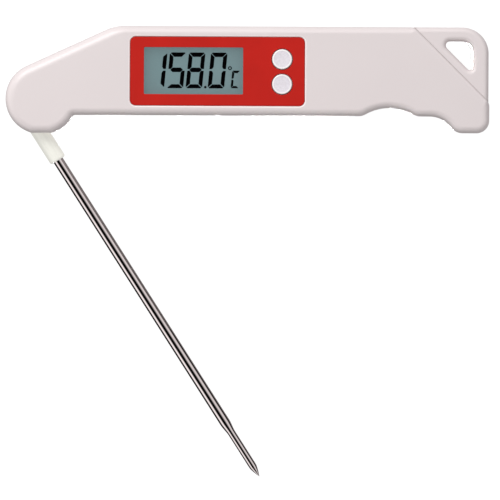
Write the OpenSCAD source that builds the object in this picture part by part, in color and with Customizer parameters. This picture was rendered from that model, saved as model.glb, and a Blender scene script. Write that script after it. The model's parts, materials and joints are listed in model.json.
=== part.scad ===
// Folding digital meat thermometer.
// Frame: origin on the probe's pivot axis, in the plane of the flat back face.
// +X runs along the handle to the hanging loop, +Y to its top edge, +Z out of the display.

/* [Handle] */
// Thickness from the back face to the front face
body_t = 17; // [16.8:0.1:18]
// Radius of the round head, centred on the pivot
head_r = 11.4; // [11.3:0.05:11.8]
// Height of the top edge above the pivot
top_y = 23.35; // [23.2:0.05:23.8]
// Depth of the bottom edge below the pivot
bottom_y = 5.15; // [5.05:0.05:5.4]
// Distance from the pivot to the far end
end_x = 143.5; // [143:0.1:145]
// Depth of the flat under the head, below the pivot
head_flat_y = 11.0; // [10.9:0.05:11.1]
// Slope of the shoulder from the head up to the top edge, in degrees
shoulder_a = 24.65; // [23:0.05:26]
// Largest rounding of the outer edges
edge_r = 2.6; // [2.2:0.1:2.8]
// Side wall thickness
wall = 1.8; // [1.6:0.1:1.9]
// Thickness of the flat front wall
front_wall = 2.4; // [2.2:0.1:2.5]
// Thickness of the flat back wall
back_wall = 1.8; // [1.6:0.1:1.9]

/* [Grip and loop] */
// Centre of the finger scallop along the handle
scallop_x = 111.5; // [110:0.5:113]
// Depth of the scallop above the bottom edge
scallop_h = 2.62; // [2.4:0.02:2.7]
// Radius of the scallop
scallop_r = 15.2; // [14:0.2:17]
// Depth of the tip guard below the pivot
guard_y = 10.45; // [10.2:0.05:10.7]
// Where the guard starts to curve down
guard_x = 124.5; // [124:0.1:125.2]
// Where the diagonal seam crosses the pivot's height
seam_x = 142.8; // [142:0.1:143]
// Drop from the front face to the loop's face
loop_drop = 0.8; // [0.5:0.1:1.2]
// How far the loop's end is set back from the end of the handle
loop_setback = 0.3; // [0.2:0.05:0.5]
// Radius of the loop's outer corner
loop_corner_r = 8.4; // [6:0.2:9]

/* [Panel and keys] */
// Panel length
panel_w = 56; // [55:0.1:56.5]
// Panel height
panel_h = 22.15; // [21:0.05:22.3]
// Left edge of the panel
panel_x = 28.4; // [28:0.1:29]
// Bottom edge of the panel
panel_y = -2.15; // [-2.2:0.05:-1.8]
// Visible window length
window_w = 31.7; // [30:0.1:32]
// Visible window height
window_h = 15; // [13.5:0.1:15.2]
// Key diameter
key_d = 6.4; // [6:0.1:6.6]
// Spacing between the two keys
key_pitch = 8.0; // [7.9:0.1:8.4]
// Key travel, and how far the keys stand proud
key_travel = 0.3; // [0.2:0.05:0.4]

/* [Probe] */
// Angle between the handle and the probe as it is drawn, in degrees; folded is 0
rest_angle = 57.25; // [20:1:120]
// Distance from the pivot to the probe's axis
probe_offset = 6.05; // [5.95:0.05:6.1]
// Probe tube diameter
tube_d = 3.4; // [3.2:0.1:3.5]
// Diameter of the swaged end
tip_d = 2.5; // [2.3:0.1:2.6]
// Distance from the pivot to the point, along the probe
probe_len = 139.6; // [138.5:0.1:139.8]
// Diameter of the insulating collar
collar_d = 5.44; // [5.2:0.04:5.48]
// Distance from the pivot to the end of the collar
collar_end = 19.6; // [19:0.1:20]

/* [Battery and fixings] */
// Coin cell diameter
cell_d = 20; // [19.8:0.1:20]
// Coin cell thickness
cell_t = 3.2; // [3:0.1:3.2]
// Centre of the battery cap along the handle
cap_x = 100; // [99.5:0.1:100.5]
// Diameter of the back magnets
magnet_d = 10; // [8:0.5:10]
// Distance between the two magnets
magnet_pitch = 30; // [28:1:32]

/* [Hidden] */
$fn = 48;

fine_step = 10;              // angle between outline points on large arcs
coarse_step = 18;            // and on small ones
small_arc_r = 6;
mid_z = body_t / 2;          // parting plane, and the height of the probe's axis
eps = 0.01;
running = 0.05;              // radial clearance of the pivot
guard_y0 = -guard_y;
bottom_y0 = -bottom_y;
neck_r = 1.2;                // hollow between the head and the bottom edge
lip_r = 4.5;                 // rounded lips of the scallop and the guard
guard_r = 8.6;               // hollow that leads down to the guard
end_r = 4;                   // lower end corner
seam_r = 3;                  // corners where the seam meets the edges
seam_share = 0.35;           // how much of the edge rounding the seam's edge takes
shoulder_r = 15;             // corner between the shoulder and the top edge
loop_top = body_t - loop_drop;
seam_gap = 0.12;             // gap across the diagonal seam

// Centres and angles of the outline's arcs
head_a = acos(head_flat_y / head_r);
neck_c = [sqrt(pow(head_r + neck_r, 2) - pow(bottom_y + neck_r, 2)), bottom_y0 - neck_r];
neck_a = atan2(neck_c[1], neck_c[0]);
scallop_c = [scallop_x, bottom_y0 + scallop_h - scallop_r];
scallop_dy = bottom_y0 + lip_r - scallop_c[1];
scallop_dx = sqrt(pow(scallop_r + lip_r, 2) - pow(scallop_dy, 2));
scallop_a = atan2(scallop_dy, scallop_dx);
guard_c = [guard_x, bottom_y0 - guard_r];
guard_lip_dy = guard_y0 + lip_r - guard_c[1];
guard_lip_dx = sqrt(pow(guard_r + lip_r, 2) - pow(guard_lip_dy, 2));
guard_a = atan2(guard_lip_dy, guard_lip_dx);
setback_a = acos(1 - loop_setback / (2 * seam_r));
seam_corner_y = seam_x - seam_r * sqrt(2) - (end_x - seam_r);
shoulder_c = [(cos(shoulder_a) * (top_y - shoulder_r) - head_r + shoulder_r) / sin(shoulder_a),
    top_y - shoulder_r];

// Panel stack
panel_t = 0.8;
recess = 0.9;
panel_fit = 0.1;
lens_t = 1.0;
panel_corner_r = 1.8;
lens_lip = 1.2;              // how far the lens reaches under the panel
window_in = 4.5;             // from the panel's left edge to the window
window_rise = 0.15;          // window's centre above the panel's
key_in = 48.7;               // from the panel's left edge to the keys' centres
key_rise = 11.04;            // from its bottom edge to midway between them
key_hole_fit = 0.2;
window_cx = panel_x + window_in + window_w / 2;
window_cy = panel_y + panel_h / 2 + window_rise;
key_x = panel_x + key_in;
key_y = panel_y + key_rise;
key_ys = [key_y + key_pitch / 2, key_y - key_pitch / 2];
floor_z = body_t - front_wall;
lcd_top = floor_z - 0.2;
lcd_t = 2.0;

// Circuit board
board_t = 1.2;
board_top = floor_z - 4.0;
board_z = board_top - board_t;
board_x0 = max(collar_end + 3.1, shoulder_c[0] - 4.1);
board_x1 = 85.2;
board_y0 = -2.0;
board_y1 = 20.6;
board_screw_at = [[24.6, 17.4], [24.6, 0.8], [70.4, 17.6], [70.4, 0.4]];
case_screw_at = [[17.5, 14], [15.5, 2.6], [88.6, 17.6], [88.6, 0.5], [133.8, 1.4], [119.5, 16.8]];
case_hole_r = 1.2;
case_boss_r = 2.5;
case_column_r = 3.1;         // around the counterbored screw
counterbore_r = 2.3;
pilot_r = 1.1;
pilot_top_z = floor_z - 1.0;
board_boss_r = 2.2;
board_pilot_r = 0.85;
board_pilot_top_z = floor_z - 0.8;
screw_head_z = 5.0;          // where the case screws' heads seat

// Pivot
hub_r = head_flat_y - wall - 0.1;
hub_t = 7.2;
hub_z0 = mid_z - hub_t / 2;
hub_z1 = mid_z + hub_t / 2;
spigot_r = 2.5;
spigot_len = 1.9;            // how far each spigot reaches into the hub
spigot_bore_r = 1.5;
washer_t = 0.4;
spring_t = 0.5;
boss_r = 4;
slot_h = collar_d + 0.56;    // height of the slot that the collar swings in
groove_h = tube_d + 1.0;     // width of the groove that the tube folds into
collar_clear = 0.4;
collar_top_y = -probe_offset + collar_d / 2 + collar_clear;
groove_top_y = -probe_offset + tube_d / 2 + collar_clear;
bar_top_y = -2.2;            // top of the thick bottom wall
bar_neck_y = collar_top_y + 1.2;
collar_start = 1.2;
tube_start = 1.6;
swage_x = probe_len - 20.4;  // where the tube starts to narrow
swage_len = 4.0;
point_len = 4.0;
tube_wall = 0.4;

// Battery
cap_y = (top_y + bottom_y0) / 2;
cap_r = 11.2;
cap_t = 0.9;
seal_t = 0.3;
neck_cap_r = 9.9;
lug_r = 11.0;
lug_t = 1.0;
cup_r = 12.2;
lip_z0 = cap_t + seal_t;
lip_z1 = lip_z0 + 1.0;
cell_z0 = lip_z1 + lug_t + 0.3;
cell_z1 = cell_z0 + cell_t;
cup_floor_z = cell_z1 + 0.5;
cup_top_z = cup_floor_z + 1.1;
lug_count = 3;
lug_w = 30;                  // angle of each lug
unlock_a = 60;               // turn that frees the cap

magnet_t = 2.0;
magnet_wall = 1.2;
magnet_mid_x = 56.4;
magnet_at = [for (s = [-1, 1]) [magnet_mid_x + s * magnet_pitch / 2, cap_y]];

white = "#e6dcdc";
panel_red = "#c4281e";
steel = "#b8b4b2";
ivory = "#f2f1e8";

// ---- outline: a loop of arcs joined by straight runs ----
// Each arc is [centre, radius, start angle, end angle, turn]. Turn is 1 where the edge bulges out
// and -1 where it is hollow. Two more values give the share of an inset taken at its start and end.
// The loop runs anticlockwise.

lower_arcs = [
    [[0, 0], head_r, 90 + shoulder_a, 270 - head_a, 1],
    [[0, 0], head_r, 270 + head_a, 360 + neck_a, 1],
    [neck_c, neck_r, 180 + neck_a, 90, -1],
    [scallop_c + [-scallop_dx, scallop_dy], lip_r, 270, 360 - scallop_a, 1],
    [scallop_c, scallop_r, 180 - scallop_a, scallop_a, -1],
    [scallop_c + [scallop_dx, scallop_dy], lip_r, 180 + scallop_a, 270, 1],
    [guard_c, guard_r, 90, guard_a, -1],
    [guard_c + [guard_lip_dx, guard_lip_dy], lip_r, 180 + guard_a, 270, 1],
    [[end_x - end_r, guard_y0 + end_r], end_r, 270, 360, 1],
];

shoulder_arc = [[shoulder_c, shoulder_r, 90, 90 + shoulder_a, 1]];

// Extra points along the straight top edge.
function top_points(x) = [for (x = [x : -12 : 40]) [[x, top_y - seam_r], seam_r, 90, 90, 1]];

// The front cover ends at the diagonal seam, where its edge is only lightly rounded.
front_arcs = concat(lower_arcs, [
    [[end_x - seam_r, seam_corner_y], seam_r, 0, 45, 1, 1, seam_share],
    [[seam_x - seam_r * sqrt(2) - (top_y - seam_r), top_y - seam_r], seam_r, 45, 90, 1, seam_share, 1],
], top_points(112), shoulder_arc);

// The rear cover runs on to the loop, which is set back a little.
rear_arcs = concat(lower_arcs, [
    [[end_x - seam_r, seam_corner_y], seam_r, 0, setback_a, 1],
    [[end_x - seam_r + 2 * seam_r * cos(setback_a), seam_corner_y + 2 * seam_r * sin(setback_a)],
        seam_r, 180 + setback_a, 180, -1],
    [[end_x - loop_setback - loop_corner_r, top_y - loop_corner_r], loop_corner_r, 0, 90, 1],
], top_points(130), shoulder_arc);

// Hanging hole: a triangle with a 45 degree long side and three different corners.
hole_top_y = top_y - 4.35;
hole_end_x = end_x - 5.35;
hole_sum = seam_x + 3.7;     // x + y along the long side
hole_big_r = 3.5;
hole_left_r = 1.4;
hole_low_r = 1.0;
hole_edge_r = 1.1;
function on_side(along_x, r) = [along_x, hole_sum + r * sqrt(2) - along_x];
hole_left_y = hole_top_y - hole_left_r;
hole_left_c = [hole_sum + hole_left_r * sqrt(2) - hole_left_y, hole_left_y];
hole_low_c = on_side(hole_end_x - hole_low_r, hole_low_r);
hole_big_c = [hole_end_x - hole_big_r, hole_top_y - hole_big_r];
hole_arcs = [
    [hole_low_c, hole_low_r, 225, 360, -1],
    [hole_big_c, hole_big_r, 0, 90, -1],
    [hole_left_c, hole_left_r, 90, 225, -1],
];

function rounded_rect(x0, y0, x1, y1, r) = [
    [[x1 - r, y0 + r], r, 270, 360, 1],
    [[x1 - r, y1 - r], r, 0, 90, 1],
    [[x0 + r, y1 - r], r, 90, 180, 1],
    [[x0 + r, y0 + r], r, 180, 270, 1],
];

// Points of an arc loop moved inwards by inset.
function loop_points(arcs, inset = 0, shared = false) = [
    for (a = arcs)
        let (n = ceil(abs(a[3] - a[2]) / (a[1] < small_arc_r ? coarse_step : fine_step)))
            for (i = [0 : n])
                let (t = a[2] + (a[3] - a[2]) * i / max(n, 1),
                    share = shared && len(a) > 5 ? a[5] + (a[6] - a[5]) * i / n : 1,
                    r = a[1] - a[4] * inset * share)
                    a[0] + r * [cos(t), sin(t)]
];

// Insets and heights of the rings that round one edge, from the side wall to the face.
round_steps = 4;
function rounding(r, z, side) = [
    for (k = [0 : round_steps])
        let (t = 90 * k / round_steps)
            [r * (1 - cos(t)), z + side * r * (sin(t) - 1)]
];

// The same, run on past the face, which is then cut flat or does the cutting.
function past_rounding(r, z, side) =
    let (p = rounding(r, z, side))
        [for (k = [0 : round_steps]) k < round_steps ? p[k] : 2 * p[k] - p[k - 1]];

// A solid whose outline follows each ring's inset, from the lowest ring to the highest.
module ring_stack(arcs, rings) {
    loops = [for (g = rings) loop_points(arcs, g[0], true)];
    m = len(rings);
    n = len(loops[0]);
    points = [for (j = [0 : m - 1]) for (p = loops[j]) [p[0], p[1], rings[j][1]]];
    sides = [for (j = [0 : m - 2]) for (i = [0 : n - 1])
        let (i2 = (i + 1) % n)
            each [[j * n + i, (j + 1) * n + i, j * n + i2], [j * n + i2, (j + 1) * n + i, (j + 1) * n + i2]]];
    floor_faces = cap(loops[0]);
    top_faces = [for (f = cap(loops[m - 1])) (m - 1) * n * [1, 1, 1] + [f[2], f[1], f[0]]];
    polyhedron(points, concat(floor_faces, top_faces, sides), convexity = 8);
}

// Triangles that fill a loop whose upper and lower edges each run steadily in x.
function cap(loop) =
    let (n = len(loop),
        xs = [for (p = loop) p[0]],
        left = search(min(xs), xs)[0],
        right = search(max(xs), xs)[0])
        zip_edges(loop, left, left, (right - left + n) % n, (left - right + n) % n);

// Works from the left end with i on the lower edge and j on the upper, always stepping to the nearer point.
function zip_edges(loop, i, j, low_left, high_left) =
    low_left + high_left == 0 ? [] :
        let (n = len(loop),
            i2 = (i + 1) % n,
            j2 = (j + n - 1) % n,
            step_low = high_left == 0 || (low_left > 0 && loop[i2][0] <= loop[j2][0]),
            third = step_low ? i2 : j2,
            flat = i == j || third == i || third == j)
            concat(flat ? [] : step_low ? [[i, i2, j]] : [[i, j2, j]],
                step_low
                    ? zip_edges(loop, i2, j, low_left - 1, high_left)
                    : zip_edges(loop, i, j2, low_left, high_left - 1));

function reversed(list) = [for (i = [len(list) - 1 : -1 : 0]) list[i]];

module slab(arcs, z0, z1, inset = 0) {
    translate([0, 0, z0])
        linear_extrude(z1 - z0)
            polygon(loop_points(arcs, inset));
}

module disc(x, y, z0, z1, r) {
    translate([x, y, z0])
        cylinder(r = r, h = z1 - z0);
}

module block(x0, y0, z0, x1, y1, z1) {
    translate([x0, y0, z0])
        cube([x1 - x0, y1 - y0, z1 - z0]);
}

module ring(x, y, z0, z1, r_in, r_out) {
    difference() {
        disc(x, y, z0, z1, r_out);
        disc(x, y, z0 - 1, z1 + 1, r_in);
    }
}

// ---- shared cuts in the two covers ----

// The hollow inside both covers, above the thick bottom wall that holds the groove.
module interior(z0, z1) {
    difference() {
        slab(front_arcs, z0, z1, wall);
        block(head_r - wall + 0.05, -30, z0 - 1, end_x, bar_top_y, z1 + 1);
        block(head_r - wall + 0.05, -30, z0 - 1, collar_end + 2.4, bar_neck_y, z1 + 1);
    }
}

// The slot that the collar swings through, and the groove that the tube folds into.
module probe_slot() {
    difference() {
        union() {
            block(-20, -20, mid_z - slot_h / 2, 0, probe_offset + collar_d / 2 + 0.3, mid_z + slot_h / 2);
            block(-eps, -20, mid_z - slot_h / 2, collar_end + 0.8, collar_top_y, mid_z + slot_h / 2);
        }
        disc(0, 0, 0, body_t, hub_r - 0.4);
    }
    block(collar_end, -20, mid_z - groove_h / 2, probe_len + 1.0, groove_top_y, mid_z + groove_h / 2);
}

// ---- handle ----

module front_cover() {
    color(white)
        difference() {
            union() {
                difference() {
                    ring_stack(front_arcs, concat([[0, mid_z]], rounding(edge_r, body_t, 1)));
                    interior(mid_z - 1, floor_z);
                }
                for (p = case_screw_at)
                    disc(p[0], p[1], mid_z, floor_z + 1, case_boss_r);
                for (p = board_screw_at)
                    disc(p[0], p[1], board_top, floor_z + 1, board_boss_r);
                disc(0, 0, hub_z1 + spring_t, floor_z + 1, boss_r);
                disc(0, 0, hub_z1 - spigot_len, floor_z + 1, spigot_r);
            }
            // seat of the panel, pocket of the lens, window and key holes
            slab(rounded_rect(panel_x, panel_y, panel_x + panel_w, panel_y + panel_h, panel_corner_r),
                body_t - recess, body_t + 1);
            slab(lens_arcs(panel_fit), body_t - recess - lens_t, body_t + 1);
            slab(window_arcs(0.2), floor_z - 1, body_t + 1);
            for (y = key_ys)
                disc(key_x, y, floor_z - 1, body_t + 1, key_d / 2 + key_hole_fit);
            probe_slot();
            // pilot holes of the screws
            for (p = case_screw_at)
                disc(p[0], p[1], mid_z - 1, pilot_top_z, pilot_r);
            for (p = board_screw_at)
                disc(p[0], p[1], board_top - 1, board_pilot_top_z, board_pilot_r);
            // hollow pivot, and the notch where the wires leave it
            disc(0, 0, mid_z, wire_top_z + 0.5, spigot_bore_r);
            rotate([0, 0, wire_a])
                block(0, -0.8, hub_z1, boss_r + 1, 0.8, wire_top_z + 0.5);
        }
}

module rear_cover() {
    color(white)
        difference() {
            union() {
                difference() {
                    ring_stack(rear_arcs,
                        concat(reversed(rounding(edge_r, 0, -1)), rounding(edge_r * 0.75, loop_top, 1)));
                    front_cover_space();
                    interior(back_wall, mid_z + 1);
                }
                for (p = case_screw_at)
                    disc(p[0], p[1], 1, mid_z, case_column_r);
                disc(0, 0, 1, hub_z0 - washer_t, boss_r);
                disc(0, 0, 1, hub_z0 + spigot_len, spigot_r);
                disc(cap_x, cap_y, 1, cup_top_z, cup_r);
                for (p = magnet_at)
                    disc(p[0], p[1], 1, magnet_t + magnet_wall, magnet_d / 2 + magnet_wall);
            }
            ring_stack(hole_arcs,
                concat(reversed(past_rounding(hole_edge_r, 0, -1)), past_rounding(hole_edge_r, loop_top, 1)));
            for (p = case_screw_at) {
                disc(p[0], p[1], -1, screw_head_z, counterbore_r);
                disc(p[0], p[1], 1, mid_z + 1, case_hole_r);
            }
            for (p = magnet_at)
                disc(p[0], p[1], -1, magnet_t + 0.15, magnet_d / 2 + 0.05);
            battery_bay();
            probe_slot();
        }
}

// The space of the front cover: all that lies above the parting plane before the diagonal seam.
module front_cover_space() {
    translate([seam_x + seam_gap, 0, mid_z])
        rotate([0, 0, 45])
            translate([-300, -150, 0])
                cube([300, 300, body_t]);
}

// Everything that is cut out of the rear cover for the cell and its cap.
module battery_bay() {
    disc(cap_x, cap_y, -1, lip_z0, cap_r + 0.15);
    disc(cap_x, cap_y, 0.5, cell_z1, neck_cap_r + 0.2);
    disc(cap_x, cap_y, lip_z1, cell_z0, lug_r + 0.2);
    disc(cap_x, cap_y, cell_z0 - 0.1, cup_floor_z, cell_d / 2 + 0.4);
    for (i = [0 : lug_count - 1])
        sector(lip_z0 - 0.1, lip_z1 + 0.1, lug_r + 0.1, unlock_a + 360 / lug_count * i, lug_w + 8);
    block(cap_x - 6.8, cap_y - 1.9, cup_floor_z - 1, cap_x - 5.8, cap_y + 1.9, cup_top_z + 1);
    block(cap_x - 11.6, cap_y - 1.9, cell_z0 + 0.2, cap_x - 9, cap_y + 1.9, cup_top_z + 1);
}

// A wedge of a disc round the cap's centre.
module sector(z0, z1, r, angle, width) {
    translate([cap_x, cap_y, z0])
        linear_extrude(z1 - z0)
            polygon(concat([[0, 0]],
                [for (i = [0 : 4]) let (t = angle - width / 2 + width * i / 4) r * [cos(t), sin(t)]]));
}

function round_window(grow, r) = rounded_rect(
    window_cx - window_w / 2 - grow, window_cy - window_h / 2 - grow,
    window_cx + window_w / 2 + grow, window_cy + window_h / 2 + grow, r);
function window_arcs(grow) = round_window(grow, 0.5);
function lens_arcs(grow) = round_window(lens_lip + grow, 0.8);

module front_panel() {
    color(panel_red)
        difference() {
            slab(rounded_rect(panel_x + panel_fit, panel_y + panel_fit,
                panel_x + panel_w - panel_fit, panel_y + panel_h - panel_fit, panel_corner_r - 0.05),
                body_t - recess, body_t - recess + panel_t);
            slab(window_arcs(0), 0, body_t + 1);
            for (y = key_ys)
                disc(key_x, y, 0, body_t + 1, key_d / 2 + key_hole_fit - 0.05);
        }
}

module display_window() {
    color([0.9, 0.95, 0.95, 0.35])
        slab(lens_arcs(0), body_t - recess - lens_t, body_t - recess);
}

lcd_w = window_w + 3.9;
lcd_h = window_h + 4.2;

module lcd_glass() {
    color("#768a8a")
        block(window_cx - lcd_w / 2, window_cy - lcd_h / 2, lcd_top - lcd_t,
            window_cx + lcd_w / 2, window_cy + lcd_h / 2, lcd_top);
}

module lcd_frame() {
    rim = 1.0;
    color("#efefec")
        difference() {
            block(window_cx - lcd_w / 2 - rim, window_cy - lcd_h / 2 - rim, board_top,
                window_cx + lcd_w / 2 + rim, window_cy + lcd_h / 2 + rim, lcd_top);
            block(window_cx - lcd_w / 2 - 0.1, window_cy - lcd_h / 2 - 0.1, lcd_top - lcd_t,
                window_cx + lcd_w / 2 + 0.1, window_cy + lcd_h / 2 + 0.1, lcd_top + 1);
            block(window_cx - lcd_w / 2 + rim, window_cy - lcd_h / 2 + 0.4, board_top - 1,
                window_cx + lcd_w / 2 - rim, window_cy + lcd_h / 2 - rim, lcd_top);
        }
}

module zebra_strip() {
    color("#3a3a3c")
        block(window_cx - lcd_w / 2 + 1.2, window_cy - lcd_h / 2 + 0.6, board_top,
            window_cx + lcd_w / 2 - 1.2, window_cy - lcd_h / 2 + 2.2, lcd_top - lcd_t);
}

module circuit_board() {
    color("#2f6b3c")
        difference() {
            block(board_x0, board_y0, board_z, board_x1, board_y1, board_top);
            for (p = board_screw_at)
                disc(p[0], p[1], board_z - 1, board_top + 1, 1.0);
        }
}

module controller_chip() {
    color("#151515")
        translate([window_cx, window_cy, board_z])
            rotate([180, 0, 0])
                rotate_extrude()
                    polygon([[0, 0], [4.8, 0], [4.5, 0.5], [3.7, 1.0], [2.4, 1.4], [0, 1.55]]);
}

module board_components() {
    color("#8f8f92") {
        // crystal can
        translate([62, window_cy + 3, board_z - 1.1])
            rotate([0, 90, 0])
                cylinder(r = 1.1, h = 6.2);
        // chip capacitors and resistors
        for (p = [[34, 4], [34, 8], [34, 12], [60, 4], [60, 6.4], [75, 9]])
            block(p[0] - 1, p[1] - 0.6, board_z - 0.8, p[0] + 1, p[1] + 0.6, board_z);
    }
}

reed_x = board_x0 + 2.4;
module reed_switch() {
    color("#bcd6cf")
        translate([reed_x, window_cy, board_z - 1.2]) {
            rotate([90, 0, 0])
                cylinder(r = 0.9, h = 8, center = true);
            rotate([90, 0, 0])
                cylinder(r = 0.25, h = 10.4, center = true);
            for (y = [-5, 5])
                translate([0, y, 0])
                    cylinder(r = 0.25, h = 1.2);
        }
}

module key_switches() {
    color("#1c1c1e")
        for (y = key_ys)
            difference() {
                block(key_x - 3, y - 3, board_top, key_x + 3, y + 3, board_top + 2.5);
                disc(key_x, y, board_top + 1.0, board_top + 3, 1.6);
            }
}

// A self-tapping cross-head screw that points up, with the underside of its head at head_z.
module screw(at, head_z, head_r, head_h, shank_r, length) {
    point = 0.8;
    translate([at[0], at[1], head_z])
        difference() {
            union() {
                translate([0, 0, -head_h])
                    cylinder(r1 = head_r - 0.35, r2 = head_r, h = head_h);
                cylinder(r = shank_r, h = length - point);
                translate([0, 0, length - point])
                    cylinder(r1 = shank_r, r2 = shank_r * 0.3, h = point);
            }
            for (a = [0, 90])
                rotate([0, 0, a])
                    translate([0, 0, -head_h])
                        cube([head_r * 1.1, head_r * 0.28, head_h * 1.1], center = true);
        }
}

module case_screws() {
    color(steel)
        for (p = case_screw_at)
            screw(p, screw_head_z, head_r = 2.1, head_h = 1.5, shank_r = 1.0, length = 8.2);
}

module board_screws() {
    color(steel)
        for (p = board_screw_at)
            screw(p, board_z, head_r = 1.7, head_h = 1.1, shank_r = 0.8, length = 4.2);
}

module back_magnets() {
    color(steel)
        for (p = magnet_at)
            disc(p[0], p[1], 0.15, magnet_t + 0.15, magnet_d / 2);
}

// ---- battery ----

module coin_cell() {
    rim = 0.4;
    color("#c9c9cb")
        translate([cap_x, cap_y, cell_z0])
            rotate_extrude()
                polygon([[0, 0], [cell_d / 2 - rim, 0], [cell_d / 2, rim], [cell_d / 2, cell_t - 0.6],
                    [cell_d / 2 - 0.9, cell_t - 0.4], [cell_d / 2 - 1.2, cell_t], [0, cell_t]]);
}

// A side clip that bears on the cell's rim.
module positive_contact() {
    color("#c8c2b0") {
        block(cap_x - cell_d / 2 - 0.45, cap_y - 1.6, cell_z0 + 0.3,
            cap_x - cell_d / 2 - 0.1, cap_y + 1.6, cup_top_z + 1.2);
        block(cap_x - cell_d / 2 - 0.2, cap_y - 1.2, cell_z0 + 1.4,
            cap_x - cell_d / 2, cap_y + 1.2, cell_z0 + 1.9);
    }
}

// A disc on the bay's floor with a tab through a slot.
module negative_contact() {
    color("#c8c2b0") {
        disc(cap_x, cap_y, cell_z1, cup_floor_z, 3);
        block(cap_x - 6.5, cap_y - 1.5, cup_floor_z - 0.3, cap_x, cap_y + 1.5, cup_floor_z);
        block(cap_x - 6.5, cap_y - 1.5, cup_floor_z - 0.3, cap_x - 6.1, cap_y + 1.5, cup_top_z + 1.2);
    }
}

// A wire of diameter d through a list of points, with square corners.
module wire(points, d) {
    for (i = [0 : len(points) - 2]) {
        run = points[i + 1] - points[i];
        before = i > 0 ? d / 2 : 0;
        after = i < len(points) - 2 ? d / 2 : 0;
        translate(points[i])
            rotate([0, atan2(norm([run[0], run[1]]), run[2]), atan2(run[1], run[0])])
                translate([0, 0, -before])
                    cylinder(r = d / 2, h = before + norm(run) + after);
    }
}

module power_wires() {
    start_x = board_x1 - 3;
    start_z = board_z - 0.6;
    end_z = cup_top_z + 0.7;
    color("#b3201c") {
        wire([[start_x, cap_y + 1.6, start_z], [cap_x - 11, cap_y + 0.9, end_z]], 0.9);
        wire([[start_x, cap_y - 4.5, start_z], [cap_x - 7.1, cap_y - 1.1, end_z]], 0.9);
    }
}

// ---- pivot ----

wire_drop_z = mid_z + 0.25;
wire_top_z = hub_z1 + spring_t + 0.75;
wire_pitch = 0.8;
wire_end = [board_x0 + 1.6, 10.0];
wire_a = atan2(wire_end[1], wire_end[0]);

module sensor_wires() {
    color("#222222")
        rotate([0, 0, wire_a])
            for (s = [-1, 1])
                wire([[0, s * wire_pitch / 2, wire_drop_z], [0, s * wire_pitch / 2, wire_top_z],
                    [norm(wire_end), s * wire_pitch / 2, board_top + 0.35]], 0.6);
}

module thrust_washer() {
    color("#d8d8d4")
        ring(0, 0, hub_z0 - washer_t, hub_z0, spigot_r + 0.1, 6);
}

module wave_spring() {
    color(steel)
        ring(0, 0, hub_z1, hub_z1 + spring_t, spigot_r + 0.1, 4.6);
}

// ---- battery cap, which turns in its bayonet ----

module battery_cap() {
    lug_z = lip_z1 + 0.05;
    color(white)
        difference() {
            union() {
                disc(cap_x, cap_y, 0, cap_t, cap_r);
                disc(cap_x, cap_y, 0, cell_z0, neck_cap_r);
                intersection() {
                    disc(cap_x, cap_y, lug_z, lug_z + lug_t, lug_r);
                    union()
                        for (i = [0 : lug_count - 1])
                            sector(lug_z, lug_z + lug_t, lug_r + 2, 360 / lug_count * i, lug_w);
                }
            }
            // hollow behind the face, and the coin slot
            disc(cap_x, cap_y, 1.6, cell_z0 + 1, neck_cap_r - 1.2);
            block(cap_x - 7, cap_y - 0.9, -1, cap_x + 7, cap_y + 0.9, 0.8);
        }
}

module cap_seal() {
    color("#4a4a4a")
        ring(cap_x, cap_y, cap_t, lip_z0, neck_cap_r + 0.02, cap_r - 0.05);
}

// ---- keys ----

key_z0 = floor_z - 0.8;
module key(y) {
    key_top = body_t + key_travel;
    r = key_d / 2;
    color("#e8e2e6")
        translate([key_x, y, 0])
            rotate_extrude()
                polygon([[0, key_z0], [r + 0.5, key_z0], [r + 0.5, floor_z - 0.2], [r, floor_z - 0.2],
                    [r, key_top - 0.45], [r - 0.13, key_top - 0.2], [r - 0.4, key_top - 0.08],
                    [r - 1.4, key_top], [0, key_top]]);
}

module key_stem(y) {
    color("#2a2a2c")
        disc(key_x, y, board_top + 1.6, key_z0, 1.5);
}

// ---- probe: built folded along +X, then turned to its rest angle ----

module at_rest() {
    rotate([0, 0, -rest_angle])
        children();
}

// Stands children's Z axis along the probe, starting at distance x from the pivot.
module along_probe(x) {
    translate([x, -probe_offset, mid_z])
        rotate([0, 90, 0])
            children();
}

module probe_hub() {
    color(ivory)
        at_rest()
            difference() {
                disc(0, 0, hub_z0, hub_z1, hub_r);
                disc(0, 0, hub_z0 - 1, hub_z1 + 1, spigot_r + running);
                along_probe(collar_start)
                    cylinder(r = collar_d / 2 + 0.02, h = 20);
                // way for the leads from the tube to the pivot
                block(-1.2, -probe_offset - 1, mid_z - 1, 1.4, 0, mid_z + 1);
                hub_magnet_pocket();
            }
}

magnet_spot = 6.5 * [cos(25), sin(25)];
module hub_magnet_pocket() {
    disc(magnet_spot[0], magnet_spot[1], hub_z1 - 3, hub_z1 + 1, 1.6);
}

module hub_magnet() {
    color("#9a9a9e")
        at_rest()
            disc(magnet_spot[0], magnet_spot[1], hub_z1 - 3, hub_z1 - 0.1, 1.5);
}

module probe_collar() {
    chamfer = 0.45;
    bore_r = tube_d / 2 + 0.02;
    length = collar_end - collar_start;
    color(ivory)
        at_rest()
            along_probe(collar_start)
                rotate_extrude()
                    polygon([[bore_r, 0], [collar_d / 2, 0], [collar_d / 2, length - chamfer],
                        [collar_d / 2 - chamfer, length], [bore_r, length]]);
}

module probe_tube() {
    swage = swage_x - tube_start;
    end = probe_len - point_len - tube_start;
    color(steel)
        at_rest()
            along_probe(tube_start)
                rotate_extrude()
                    polygon([[tube_d / 2 - tube_wall, 0], [tube_d / 2, 0], [tube_d / 2, swage],
                        [tip_d / 2, swage + swage_len], [tip_d / 2, end], [tip_d / 2 - tube_wall, end],
                        [tip_d / 2 - tube_wall, swage + swage_len], [tube_d / 2 - tube_wall, swage]]);
}

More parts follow.
